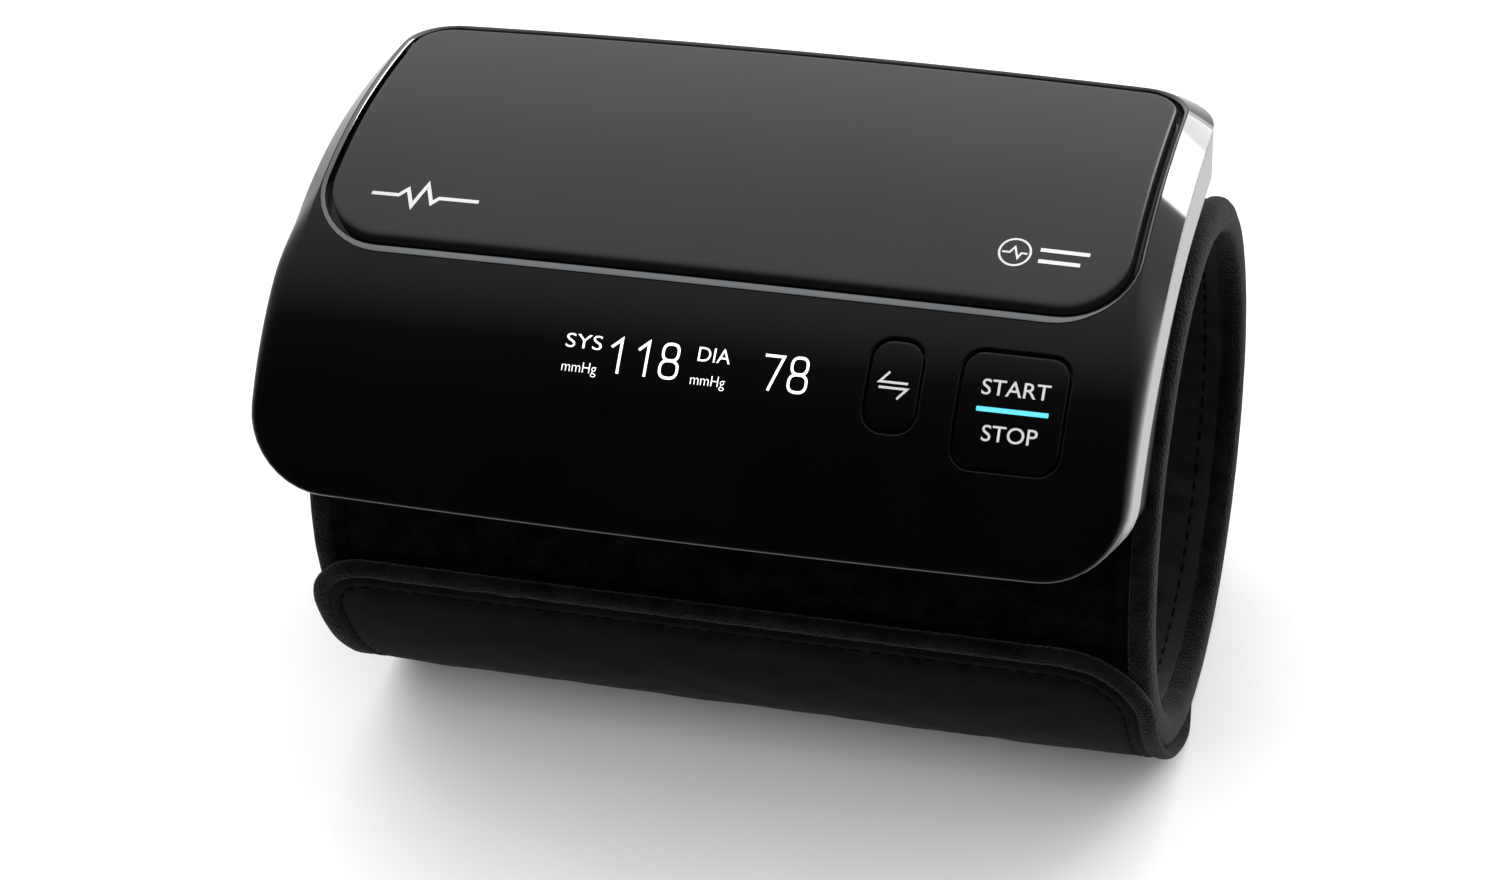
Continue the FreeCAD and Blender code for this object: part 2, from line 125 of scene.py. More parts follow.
# ---------------------------------------------------------------- mesh tools
class Shape:
    """Vertices, faces and texture places gathered for one piece."""

    def __init__(self):
        self.verts, self.faces, self.uvs = [], [], []

    def add(self, points, faces, uvs=None):
        base = len(self.verts)
        points = np.asarray(points, float).reshape(-1, 3)
        self.verts.extend(map(tuple, points))
        if uvs is None:
            uvs = np.zeros((len(points), 2))
        self.uvs.extend(map(tuple, np.asarray(uvs, float).reshape(-1, 2)))
        self.faces.extend(tuple(base + i for i in face) for face in faces)
        return self

    def grid(self, points, uvs=None, close_rows=False, close_columns=False):
        """A net of quads over points[row][column]."""
        rows, columns = len(points), len(points[0])
        faces = []
        for r in range(rows if close_rows else rows - 1):
            for c in range(columns if close_columns else columns - 1):
                down, right = (r + 1) % rows, (c + 1) % columns
                corners = ((r, c), (r, right), (down, right), (down, c))
                faces.append(tuple(row * columns + column for row, column in corners))
        return self.add(points, faces, uvs)


def make(name, shape, material, body=None, stands_for=(), weighted=False):
    mesh = bpy.data.meshes.new(name)
    mesh.from_pydata(shape.verts, [], shape.faces)
    layer = mesh.uv_layers.new(name="UVMap")
    index = np.zeros(len(mesh.loops), int)
    mesh.loops.foreach_get("vertex_index", index)
    layer.data.foreach_set("uv", np.array(shape.uvs)[index].astype(np.float32).ravel())
    work = bmesh.new()
    work.from_mesh(mesh)
    bmesh.ops.remove_doubles(work, verts=work.verts, dist=2e-6)
    bmesh.ops.recalc_face_normals(work, faces=work.faces)
    for face in work.faces:
        face.smooth = True
    work.to_mesh(mesh)
    work.free()
    mesh.materials.append(material)
    piece = bpy.data.objects.new(name, mesh)
    bpy.context.scene.collection.objects.link(piece)
    if weighted:
        mesh.set_sharp_from_angle(angle=math.radians(32))
        modifier = piece.modifiers.new("normals", "WEIGHTED_NORMAL")
        modifier.weight = 60
        modifier.keep_sharp = True
    if body:
        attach(piece, body)
    if stands_for:
        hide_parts(*stands_for)
    return piece


def outline(x0, x1, s0, s1, radii, across=60, along=48, corner=10):
    """Points round a rectangle; radii are of its (x0,s0), (x1,s0), (x1,s1) and (x0,s1) corners."""
    half_turn = math.pi / 2
    spots = ((x0, s0, 1, 1), (x1, s0, -1, 1), (x1, s1, -1, -1), (x0, s1, 1, -1))
    arcs = []
    for index, ((x, s, toward_x, toward_s), radius) in enumerate(zip(spots, radii)):
        radius = max(radius, 0.05)
        turns = math.pi + half_turn * (index + np.arange(corner + 1) / corner)
        arcs.append(np.stack([x + toward_x * radius + radius * np.cos(turns),
                              s + toward_s * radius + radius * np.sin(turns)], axis=1))
    points = []
    for index, arc in enumerate(arcs):
        count = across if index % 2 == 0 else along
        follows = arcs[(index + 1) % 4][0]
        steps = (np.arange(1, count) / count)[:, None]
        points.extend([arc, arc[-1] * (1 - steps) + follows * steps])
    return np.concatenate(points)


def inside(points, loop):
    """Which points are inside a closed loop."""
    x, y = points[:, 0][:, None], points[:, 1][:, None]
    ax, ay = loop[:, 0], loop[:, 1]
    bx, by = np.roll(ax, -1), np.roll(ay, -1)
    crossing = (ay > y) != (by > y)
    at = ax + (y - ay) / np.where(by == ay, 1e-12, by - ay) * (bx - ax)
    return (np.sum(crossing & (x < at), axis=1) % 2) == 1


def fill(outer, holes, spacing):
    """Points and triangles that fill a loop, leaving its holes open."""
    low, high = outer.min(0), outer.max(0)
    gx, gy = np.meshgrid(np.arange(low[0] + spacing / 2, high[0], spacing),
                         np.arange(low[1] + spacing / 2, high[1], spacing))
    inner = np.stack([gx.ravel(), gy.ravel()], axis=1)
    keep = inside(inner, outer)
    for hole in holes:
        keep &= ~inside(inner, hole)
    inner = inner[keep]
    for loop in (outer, *holes):
        nearest = np.array([np.min(np.sum((loop - p) ** 2, axis=1)) for p in inner])
        inner = inner[nearest > (0.45 * spacing) ** 2]
    points, edges = [], []
    for loop in (outer, *holes):
        base = len(points)
        points.extend(loop)
        edges.extend((base + i, base + (i + 1) % len(loop)) for i in range(len(loop)))
    points.extend(inner)
    result = geometry.delaunay_2d_cdt([Vector(p) for p in points], edges, [], 0, 1e-6)
    found = np.array([tuple(p) for p in result[0]])
    faces = np.array([tuple(f) for f in result[2]])
    middle = found[faces].mean(axis=1)
    keep = inside(middle, outer)
    for hole in holes:
        keep &= ~inside(middle, hole)
    return found, [tuple(f) for f in faces[keep]]


def cap(shape, loop, off, place, holes=(), spacing=1.3):
    points, faces = fill(loop, holes, spacing)
    return shape.add(place(points[:, 0], points[:, 1], off), faces, points / 10)


def loft(shape, rings, place):
    """A skin through rings of (loop, offset)."""
    rows = [place(loop[:, 0], loop[:, 1], off) for loop, off in rings]
    uvs = [loop / 10 for loop, _ in rings]
    return shape.grid(np.array(rows), np.array(uvs), close_columns=True)


# ---------------------------------------------------------------- materials
def new_material(name, colour, roughness, metallic=0.0, sheen=0.0, specular=0.5):
    material = bpy.data.materials.new(name)
    material.use_nodes = True
    shader = material.node_tree.nodes["Principled BSDF"]
    shader.inputs["Base Color"].default_value = (*colour, 1)
    shader.inputs["Roughness"].default_value = roughness
    shader.inputs["Metallic"].default_value = metallic
    shader.inputs["Specular IOR Level"].default_value = specular
    shader.inputs["Sheen Weight"].default_value = sheen
    shader.inputs["Sheen Roughness"].default_value = 0.4
    return material, material.node_tree, shader


def add_node(tree, kind, **inputs):
    node = tree.nodes.new(kind)
    for key, value in inputs.items():
        node.inputs[key.replace("_", " ")].default_value = value
    return node


def coordinates(tree, source, scale):
    places = tree.nodes.new("ShaderNodeTexCoord")
    mapping = tree.nodes.new("ShaderNodeMapping")
    mapping.inputs["Scale"].default_value = scale
    tree.links.new(places.outputs[source], mapping.inputs["Vector"])
    return mapping.outputs["Vector"]


def noise(tree, vector, scale, detail=2.0, roughness=0.5):
    node = add_node(tree, "ShaderNodeTexNoise", Scale=scale, Detail=detail, Roughness=roughness)
    tree.links.new(vector, node.inputs["Vector"])
    return node.outputs["Fac"]


def colour_mix(tree, factor, dark, light, low=0.3, high=0.7):
    ramp = tree.nodes.new("ShaderNodeValToRGB")
    ramp.color_ramp.elements[0].position = low
    ramp.color_ramp.elements[1].position = high
    ramp.color_ramp.elements[0].color = (*dark, 1)
    ramp.color_ramp.elements[1].color = (*light, 1)
    tree.links.new(factor, ramp.inputs["Fac"])
    return ramp.outputs["Color"]


def span(tree, factor, low, high):
    node = add_node(tree, "ShaderNodeMapRange")
    node.inputs["To Min"].default_value = low
    node.inputs["To Max"].default_value = high
    tree.links.new(factor, node.inputs["Value"])
    return node.outputs["Result"]


def bump(tree, shader, height, strength, distance):
    node = add_node(tree, "ShaderNodeBump", Strength=strength, Distance=distance)
    tree.links.new(height, node.inputs["Height"])
    tree.links.new(node.outputs["Normal"], shader.inputs["Normal"])


def moulded(name, colour, light, roughness, grain=900.0, depth=0.00001, strength=0.15, **extra):
    """Moulded or brushed hard surface: fine grain in the height, slow change in colour and gloss."""
    material, tree, shader = new_material(name, colour, sum(roughness) / 2, **extra)
    vector = coordinates(tree, "Object", (1, 1, 1))
    slow = noise(tree, vector, 45.0, 3.0)
    fine = noise(tree, vector, grain, 2.0)
    tree.links.new(colour_mix(tree, slow, colour, light), shader.inputs["Base Color"])
    tree.links.new(span(tree, slow, *roughness), shader.inputs["Roughness"])
    bump(tree, shader, fine, strength, depth)
    return material


def cloth(name, dark, light, loops, depth, roughness=0.9, sheen=0.3, weave=None):
    """Fabric: loops or threads in the height, with lint and wear in the colour."""
    material, tree, shader = new_material(name, dark, roughness, sheen=sheen, specular=0.15)
    vector = coordinates(tree, "Object", (1, 1, 1))
    if weave:
        threads = coordinates(tree, "UV", (1, 1, 1))
        height = None
        for direction in ("X", "Y"):
            wave = add_node(tree, "ShaderNodeTexWave", Scale=weave, Distortion=0.6, Detail=1.0)
            wave.bands_direction = direction
            wave.inputs["Detail Scale"].default_value = 3.0
            tree.links.new(threads, wave.inputs["Vector"])
            if height is None:
                height = wave.outputs["Fac"]
            else:
                both = tree.nodes.new("ShaderNodeMath")
                both.operation = "MULTIPLY"
                tree.links.new(height, both.inputs[0])
                tree.links.new(wave.outputs["Fac"], both.inputs[1])
                height = both.outputs["Value"]
    else:
        cells = add_node(tree, "ShaderNodeTexVoronoi", Scale=loops)
        tree.links.new(vector, cells.inputs["Vector"])
        height = cells.outputs["Distance"]
    lint = noise(tree, vector, 260.0, 4.0, 0.7)
    mixed = tree.nodes.new("ShaderNodeMath")
    mixed.operation = "ADD"
    tree.links.new(height, mixed.inputs[0])
    tree.links.new(lint, mixed.inputs[1])
    tree.links.new(colour_mix(tree, lint, dark, light, 0.35, 0.75), shader.inputs["Base Color"])
    bump(tree, shader, mixed.outputs["Value"], 0.7, depth)
    return material


def glowing(name, colour, strength):
    material, tree, shader = new_material(name, colour, 0.4)
    vector = coordinates(tree, "Object", (1, 1, 1))
    dots = noise(tree, vector, 2500.0, 1.0)
    tint = colour_mix(tree, dots, tuple(0.85 * c for c in colour), colour)
    tree.links.new(tint, shader.inputs["Emission Color"])
    tree.links.new(tint, shader.inputs["Base Color"])
    shader.inputs["Emission Strength"].default_value = strength
    return material


GLOSS = moulded("gloss_black", (0.0010,) * 3, (0.0015,) * 3, (0.05, 0.08), 300.0, 0.000002, 0.1)
MATTE = moulded("matte_panel", (0.017,) * 3, (0.020,) * 3, (0.42, 0.48), 2600.0, 0.00002, 0.25)
BEZEL = moulded("bright_bezel", (0.20, 0.21, 0.22), (0.25, 0.26, 0.27), (0.12, 0.2), 900.0, 0.000002,
                0.1, metallic=1.0)
RIM = moulded("silver_rim", (0.56, 0.57, 0.58), (0.62, 0.63, 0.64), (0.26, 0.33), 1400.0, 0.000004,
              0.2, metallic=0.9)
REAR = moulded("case_black", (0.006,) * 3, (0.009,) * 3, (0.35, 0.5), 1800.0, 0.00002, 0.3)
WHITE = glowing("display_white", (0.90, 0.92, 0.93), 1.0)
PRINT = moulded("print_grey", (0.46, 0.47, 0.48), (0.54, 0.55, 0.56), (0.4, 0.5))
MARK = moulded("print_silver", (0.50, 0.51, 0.52), (0.60, 0.61, 0.62), (0.35, 0.45))
BLUE = glowing("light_blue", (0.07, 0.46, 0.60), 0.72)
LINING = cloth("cuff_lining", (0.0042, 0.0050, 0.0056), (0.0100, 0.0118, 0.0130), 0, 0.00006, 0.62, 0.12,
               weave=14.0)
VELOUR = cloth("cuff_velour", (0.0003,) * 3, (0.0026,) * 3, 1500.0, 0.00035, 0.95, 0.01)
FLAP = cloth("flap_cloth", (0.0010, 0.00105, 0.0011), (0.0034, 0.0036, 0.0038), 0, 0.00016, 0.85, 0.03,
             weave=11.0)
TAPE = cloth("cuff_binding", (0.0010,) * 3, (0.0060,) * 3, 2500.0, 0.0003, 0.9, 0.08)
THREAD = moulded("thread", (0.0008,) * 3, (0.0018,) * 3, (0.6, 0.8), 3000.0, 0.00003, 0.5, specular=0.1)
HOOK = cloth("hook_black", (0.003,) * 3, (0.012,) * 3, 1300.0, 0.0004, 0.6, 0.0)
FOAM = cloth("foam_black", (0.010,) * 3, (0.020,) * 3, 2200.0, 0.0002, 0.95, 0.1)
STEEL = moulded("steel", (0.50, 0.50, 0.51), (0.60, 0.60, 0.60), (0.22, 0.36), 1500.0, 0.00001, 0.3,
                metallic=1.0)
BOARD = moulded("circuit_board", (0.010, 0.055, 0.022), (0.014, 0.085, 0.030), (0.3, 0.45), 700.0,
                0.00003, 0.4)
GLASS = moulded("display_glass", (0.004, 0.004, 0.006), (0.007, 0.007, 0.010), (0.05, 0.1))
CHIP = moulded("chip_black", (0.012,) * 3, (0.02,) * 3, (0.4, 0.55), 2000.0, 0.00001, 0.3)
COPPER = moulded("copper_winding", (0.45, 0.18, 0.07), (0.6, 0.26, 0.11), (0.25, 0.4), 1800.0, 0.0001, 0.6,
                 metallic=1.0)
PLASTIC = moulded("white_plastic", (0.62, 0.62, 0.6), (0.7, 0.7, 0.68), (0.4, 0.5))
RUBBER = moulded("soft_rubber", (0.02,) * 3, (0.03,) * 3, (0.6, 0.75), 1200.0, 0.00004, 0.4)
TUBE = moulded("clear_tube", (0.55, 0.57, 0.58), (0.62, 0.64, 0.65), (0.2, 0.3))
CELL = moulded("cell_wrap", (0.30, 0.31, 0.33), (0.36, 0.37, 0.39), (0.25, 0.35), 1200.0, 0.000005, 0.2,
               metallic=0.8)
SLOTS = {
    "gloss_black": GLOSS, "matte_panel": MATTE, "bright_bezel": BEZEL, "silver_rim": RIM,
    "case_black": REAR, "light_blue": BLUE, "steel": STEEL, "circuit_board": BOARD,
    "display_glass": GLASS, "chip_black": CHIP,
    "copper_winding": COPPER, "white_plastic": PLASTIC, "soft_rubber": RUBBER, "clear_tube": TUBE,
    "cell_wrap": CELL, "cuff_lining": LINING, "cuff_velour": VELOUR, "cuff_binding": TAPE,
    "foam_black": FOAM, "hook_black": HOOK,
}

node_slots = {entry["node"]: entry["material_slot"] for entry in frame["record"]["subparts"]}
for name, node in frame["nodes"].items():
    node.data.materials.clear()
    node.data.materials.append(SLOTS[node_slots[name]])

# ---------------------------------------------------------------- case front
COVER = (-55.8, 55.8, 10.0, 56.8)
COVER_RADII = (5.0, 5.0, 8.8, 8.8)
OPENING = (-56.7, 56.7, 8.9, 58.0)
OPENING_RADII = (5.9, 5.9, 9.8, 9.8)
BEZEL_OUTER = (-57.3, 57.3, 8.4, 59.3)
BEZEL_RADII = (6.4, 6.4, 11.0, 11.0)
FACE_EDGE = (-57.45, 57.45, 8.2, CASE_LENGTH - 3.0)
FACE_RADII = (6.9, 6.9, 8.6, 8.6)
CASE_EDGE = (-CASE_HALF, CASE_HALF, 0.0, CASE_LENGTH)
CASE_RADII = (12.0, 12.0, 11.0, 11.0)


def grown(box, radii, amount):
    x0, x1, s0, s1 = box
    bigger = (x0 - amount, x1 + amount, s0 - amount, s1 + amount)
    return outline(*bigger, [max(r + amount, 0.3) for r in radii])


def key_outline(spec, grow, radius=2.6):
    x, s, half, tall = spec
    corner = max(radius + grow, 0.3)
    half, tall = half + grow, tall + grow
    return outline(x - half, x + half, s - tall, s + tall, [corner] * 4, 10, 10, 8)


def front_rings():
    """Up the side from the parting line and over the chamfer, which turns round low down."""
    edge, face = outline(*CASE_EDGE, CASE_RADII), outline(*FACE_EDGE, FACE_RADII)
    low = smoothstep(48, 64, edge[:, 1])
    rings = [(grown(CASE_EDGE, CASE_RADII, -0.5), 0.0), (grown(CASE_EDGE, CASE_RADII, -0.12), 0.0)]
    rings += [(edge, 0.12), (edge, 0.45)]
    for q in (0.0, 0.02, 0.06, 0.15, 0.27, 0.4, 0.53, 0.66, 0.78, 0.88, 0.95, 0.985, 1.0):
        turn = q * math.pi / 2
        across = q * (1 - low) + (1 - max(math.cos(turn), 0.0) ** 0.62) * low
        up = q * (1 - low) + math.sin(turn) ** 0.62 * low
        rings.append((edge + (face - edge) * across[:, None], 0.45 + (FACE - 0.45) * up))
    rings.append((grown(FACE_EDGE, FACE_RADII, -0.05), FACE))
    return rings


def front_shell():
    shape = Shape()
    rings = front_rings()
    loft(shape, rings, case_place)
    bezel = outline(*BEZEL_OUTER, BEZEL_RADII)
    holes = [bezel]
    for spec in (START_STOP, TRANSFER):
        holes.append(key_outline(spec, 0.7))
        steps = [(0.7, 3.8), (0.5, 3.8), (0.4, 3.76), (0.33, 3.68), (0.3, 3.55), (0.3, 1.6)]
        loft(shape, [(key_outline(spec, grow), off) for grow, off in steps], case_place)
    cap(shape, rings[-1][0], FACE, case_place, holes)
    floor = FACE - 2.0
    way_in = outline(-53.1, 53.1, 12.4, 54.4, (5.0,) * 4)
    loft(shape, [(bezel, FACE), (bezel, floor), (way_in, floor), (way_in, floor - 1.4)], case_place)
    return make("front_shell_skin", shape, GLOSS, "monitor", ["front_shell"], True)


def panel_bezel():
    outer, inner = outline(*BEZEL_OUTER, BEZEL_RADII), outline(*OPENING, OPENING_RADII)

    def between(share):
        return outer + (inner - outer) * share

    rings = [(between(0.02), 1.9), (between(0.02), 3.78), (between(0.08), 3.86), (between(0.16), 3.88)]
    rings += [(between(0.5), 3.74), (between(0.9), 3.56), (between(0.98), 3.46), (between(1.0), 3.3)]
    rings += [(between(1.0), 1.9), (between(0.02), 1.9)]
    return make("bezel_bead", loft(Shape(), rings, case_place), BEZEL, "monitor", ["panel_bezel"],
                True)


def battery_cover():
    steps = [(0.0, 1.9), (0.0, 3.5), (0.06, 3.75), (0.2, 3.92), (0.42, 4.02), (0.8, PANEL), (1.0, PANEL)]
    rings = [(grown(COVER, COVER_RADII, -inset), off) for inset, off in steps]
    shape = loft(Shape(), rings, case_place)
    cap(shape, rings[-1][0], PANEL, case_place)
    under = grown(COVER, COVER_RADII, -1.0)
    loft(shape, [(rings[0][0], 1.9), (under, 1.9), (under, 3.0)], case_place)
    cap(shape, under, 3.0, case_place, spacing=2.5)
    return make("battery_door", shape, MATTE, "battery_lid", ["battery_cover"], True)


def side_band():
    steps = [(0.25, -0.35), (0.08, -0.4), (0.0, -0.55), (0.0, -7.2), (0.1, -7.42), (0.3, -7.5), (2.0, -7.5),
             (2.0, -0.35), (0.25, -0.35)]
    rings = [(grown(CASE_EDGE, CASE_RADII, -inset), off) for inset, off in steps]
    return make("silver_band", loft(Shape(), rings, case_place), RIM, "monitor", ["side_rim"],
                True)


def back_shell():
    """The dark lower half of the case, from inside the silver band down to the cuff."""
    shape = Shape()
    rings = [(grown(CASE_EDGE, CASE_RADII, -2.2), -0.05), (grown(CASE_EDGE, CASE_RADII, -2.2), -7.6)]
    rings += [(grown(CASE_EDGE, CASE_RADII, -1.7), -7.65), (grown(CASE_EDGE, CASE_RADII, -1.3), -7.8)]
    wall = grown(CASE_EDGE, CASE_RADII, -1.2)
    rings.append((wall, -8.2))
    y, z, tilt = case_curve(wall[:, 1])
    along = y * np.sin(tilt) - z * np.cos(tilt)
    reach = along ** 2 - (y ** 2 + z ** 2 - (SEAT_R + 0.2) ** 2)
    depth = np.where(reach > 0, along + np.sqrt(np.maximum(reach, 0)), -26.0)
    depth = np.clip(depth, -26.0, -8.4)
    for share in (0.3, 0.6, 0.9, 1.0):
        rings.append((wall, -8.2 + (depth + 8.2) * share))
    loft(shape, rings, case_place)
    return make("back_shell", shape, REAR, "monitor", ["rear_shell"], True)


def key_cap(name, spec, body, node):
    shape = Shape()
    steps = [(0.0, 1.5), (0.0, 3.58), (-0.05, 3.7), (-0.15, 3.78), (-0.35, 3.8)]
    rings = [(key_outline(spec, grow), off) for grow, off in steps]
    loft(shape, rings, case_place)
    cap(shape, rings[-1][0], FACE, case_place, spacing=0.9)
    skirt = key_outline(spec, 0.7)
    loft(shape, [(skirt, 1.2), (skirt, 2.2), (key_outline(spec, 0), 2.2)], case_place)
    return make(name, shape, GLOSS, body, [node], True)


front_shell()
panel_bezel()
battery_cover()
side_band()
back_shell()
key_cap("start_stop_cap", START_STOP, "start_stop_key", "start_stop_button")
key_cap("transfer_cap", TRANSFER, "transfer_key", "transfer_button")


# ---------------------------------------------------------------- printed and lit signs
def ribbon(shape, points, width, off, closed=False):
    """A flat line of one width that follows points of (x, s) on the case."""
    points = np.asarray(points, float)
    if not closed:
        fine = [points[:1]]
        for a, b in zip(points, points[1:]):
            count = max(2, int(np.linalg.norm(b - a) / 0.6) + 1)
            fine.append(a + (b - a) * (np.arange(1, count + 1) / count)[:, None])
        points = np.concatenate(fine)
    if closed:
        before, after = np.roll(points, 1, 0), np.roll(points, -1, 0)
    else:
        before = np.concatenate([points[:1] * 2 - points[1:2], points[:-1]])
        after = np.concatenate([points[1:], points[-1:] * 2 - points[-2:-1]])
    first = (points - before) / np.linalg.norm(points - before, axis=1)[:, None]
    second = (after - points) / np.linalg.norm(after - points, axis=1)[:, None]
    middle = first + second
    middle /= np.linalg.norm(middle, axis=1)[:, None]
    side = np.stack([-middle[:, 1], middle[:, 0]], axis=1)
    square = np.stack([-first[:, 1], first[:, 0]], axis=1)
    reach = width / 2 / np.clip(np.sum(side * square, axis=1), 0.4, 1)
    rows = []
    for sign in (-1, 1):
        edge = points + side * (sign * reach)[:, None]
        rows.append(case_place(edge[:, 0], edge[:, 1], off))
    return shape.grid(np.array(rows), close_columns=closed)


def rounded(cx, cs, half, tall, power=2.6, count=28):
    turns = np.linspace(0, 2 * math.pi, count, endpoint=False)
    c, s = np.cos(turns), np.sin(turns)
    return np.stack([cx + half * np.sign(c) * np.abs(c) ** (2 / power),
                     cs + tall * np.sign(s) * np.abs(s) ** (2 / power)], axis=1)


def digit(shape, which, x0, x1, s0, s1, width, off):
    def at(*pairs):
        return [(x0 + u * (x1 - x0), s1 - v * (s1 - s0)) for u, v in pairs]

    if which == "1":
        ribbon(shape, at((0.25, 0.72), (0.72, 0.97), (0.72, 0.0)), width, off)
    elif which == "7":
        ribbon(shape, at((0.02, 0.96), (0.95, 0.96), (0.38, 0.0)), width, off)
    else:
        middle = (x0 + x1) / 2
        half, tall = (x1 - x0) / 2 - width / 2, s1 - s0
        upper = rounded(middle, s0 + 0.25 * tall, half * 0.88, 0.25 * tall - width / 2 + 0.1)
        lower = rounded(middle, s0 + 0.73 * tall, half, 0.27 * tall - width / 2 + 0.05)
        for loop in (upper, lower):
            ribbon(shape, loop, width, off, True)


def words(name, text, x0, x1, s0, s1, off, material, body, bold=0.0):
    curve = bpy.data.curves.new(name + "_text", "FONT")
    curve.body = text
    curve.offset = bold
    curve.resolution_u = 4
    holder = bpy.data.objects.new(name + "_text", curve)
    bpy.context.scene.collection.objects.link(holder)
    bpy.context.view_layer.update()
    flat = holder.evaluated_get(bpy.context.evaluated_depsgraph_get()).to_mesh()
    points = np.array([v.co[:2] for v in flat.vertices])
    faces = [tuple(f.vertices) for f in flat.polygons]
    low, high = points.min(0), points.max(0)
    share = (points - low) / (high - low)
    x = x0 + share[:, 0] * (x1 - x0)
    s = s1 - share[:, 1] * (s1 - s0)
    bpy.data.objects.remove(holder)
    shape = Shape().add(case_place(x, s, off), faces)
    return make(name, shape, material, body)


GLOW_OFF = FACE + 0.07
numbers = Shape()
for index, which in enumerate("118"):
    digit(numbers, which, -11.1 + 3.75 * index, -8.35 + 3.75 * index, 67.5, 72.0, 0.35, GLOW_OFF)
for index, which in enumerate("78"):
    digit(numbers, which, 10.5 + 3.5 * index, 13.25 + 3.5 * index, 67.45, 72.0, 0.35, GLOW_OFF)
make("reading_digits", numbers, WHITE, "monitor")
words("label_sys", "SYS", -16.8, -11.8, 67.55, 69.35, GLOW_OFF, WHITE, "monitor", -0.006)
words("label_dia", "DIA", 1.5, 5.9, 67.5, 69.3, GLOW_OFF, WHITE, "monitor", -0.006)
words("label_unit_1", "mmHg", -16.8, -12.0, 71.1, 72.8, GLOW_OFF, WHITE, "monitor", -0.014)
words("label_unit_2", "mmHg", 1.0, 5.7, 71.0, 72.7, GLOW_OFF, WHITE, "monitor", -0.014)
words("label_start", "START", 39.7, 48.7, 67.5, 69.5, GLOW_OFF, PRINT, "start_stop_key", 0.004)
words("label_stop", "STOP", 40.6, 47.9, 73.2, 75.2, GLOW_OFF, PRINT, "start_stop_key", 0.004)
bar_shape = Shape()
cap(bar_shape, outline(39.4, 48.9, 71.0, 71.6, (0.1,) * 4, 10, 2, 3), FACE + 0.04, case_place, spacing=1.0)
make("light_line", bar_shape, BLUE, "start_stop_key", ["light_bar"])
arrows = Shape()
ribbon(arrows, [(27.4, 68.0), (26.2, 69.3), (30.0, 69.3)], 0.3, GLOW_OFF)
ribbon(arrows, [(28.8, 71.3), (30.0, 70.0), (26.2, 70.0)], 0.3, GLOW_OFF)
make("transfer_sign", arrows, PRINT, "transfer_key")

PANEL_OFF = PANEL + 0.04
trace = Shape()
beat = [(-49.5, 50.3), (-45.6, 50.3), (-44.5, 49.2), (-43.3, 51.9), (-41.9, 48.2), (-40.6, 51.2),
        (-39.7, 50.3), (-34.0, 50.3)]
ribbon(trace, beat, 0.55, PANEL_OFF)
make("pulse_mark", trace, MARK, "battery_lid")
signs = Shape()
ribbon(signs, rounded(40.3, 49.4, 2.1, 2.1, 2.0), 0.3, PANEL_OFF, True)
small_beat = [(38.6, 49.5), (39.6, 49.5), (40.2, 48.6), (40.8, 50.3), (41.2, 49.5), (42.0, 49.5)]
ribbon(signs, small_beat, 0.28, PANEL_OFF)
ribbon(signs, [(43.6, 48.6), (50.2, 48.6)], 0.6, PANEL_OFF)
ribbon(signs, [(43.6, 50.4), (49.2, 50.4)], 0.6, PANEL_OFF)
make("round_mark", signs, MARK, "battery_lid")


# ---------------------------------------------------------------- cuff
LAYER_R = 39.0                 # waves and texture are laid out round the arm at this radius


def ripple(a, b, seed, scale=1.0):
    """Slow waves for cloth: sums of sines with fixed phases."""
    pick = np.random.default_rng(seed)
    total = 0
    for _ in range(7):
        fa, fb = pick.uniform(0.15, 1.0, 2) * scale
        total = total + np.sin(a * fa + pick.uniform(0, 6.28)) * np.sin(b * fb + pick.uniform(0, 6.28))
    return total / 7 ** 0.5


def tube_skin(name, profile, material, nodes, wave, closed=True, steps=300):
    """A profile of (x, radius, share of the waves) swept round the arm."""
    profile = np.array(profile, float)
    angles = np.linspace(0, 360, steps + 1)
    x, radius, share = (profile[:, i][None, :] for i in range(3))
    turn = angles[:, None]
    arc = np.radians(turn) * LAYER_R
    height = wave(arc, x) * share
    points = ring_place(x + 0 * turn, turn + 0 * x, radius + height)
    run = np.cumsum(np.abs(np.diff(x, prepend=x[:, :1])), axis=1)
    uvs = np.stack(np.broadcast_arrays(arc / 10, run / 10), -1)
    shape = Shape().grid(points, uvs, close_columns=closed)
    return make(name, shape, material, "monitor", nodes)


EDGE = CUFF_HALF - 2.4         # where the bound edges begin
outer_profile = [(-EDGE, 38.4, 0), (-EDGE, 39.0, 0), (-EDGE + 0.5, 39.35, 0.2), (-EDGE + 1.6, 39.5, 0.4),
                 (-EDGE + 2.5, 39.28, 0), (-EDGE + 3.4, 39.5, 0.4)]
outer_profile += [(x, 39.55, 1) for x in np.linspace(-EDGE + 6, EDGE - 6, 60)]
outer_profile += [(-x, radius, share) for x, radius, share in reversed(outer_profile[:6])]
sleeve = tube_skin("sleeve", outer_profile, VELOUR, ["outer_sleeve", "loop_patch"],
                   lambda a, b: 0.12 * ripple(a, b, 3))

lining_profile = [(-EDGE, 35.6, 0), (-EDGE, 35.0, 0), (-EDGE + 0.8, 34.75, 0.2), (-EDGE + 2.6, 34.95, 0),
                  (-EDGE + 4.4, 34.75, 0.5)]
lining_profile += [(x, 34.7, 1) for x in np.linspace(-EDGE + 7, EDGE - 7, 60)]
lining_profile += [(-x, radius, share) for x, radius, share in reversed(lining_profile[:5])]
lining = tube_skin("lining", lining_profile, LINING, ["inner_lining"],
                   lambda a, b: 0.22 * ripple(a * 1.3, b * 0.35, 5), closed=False)


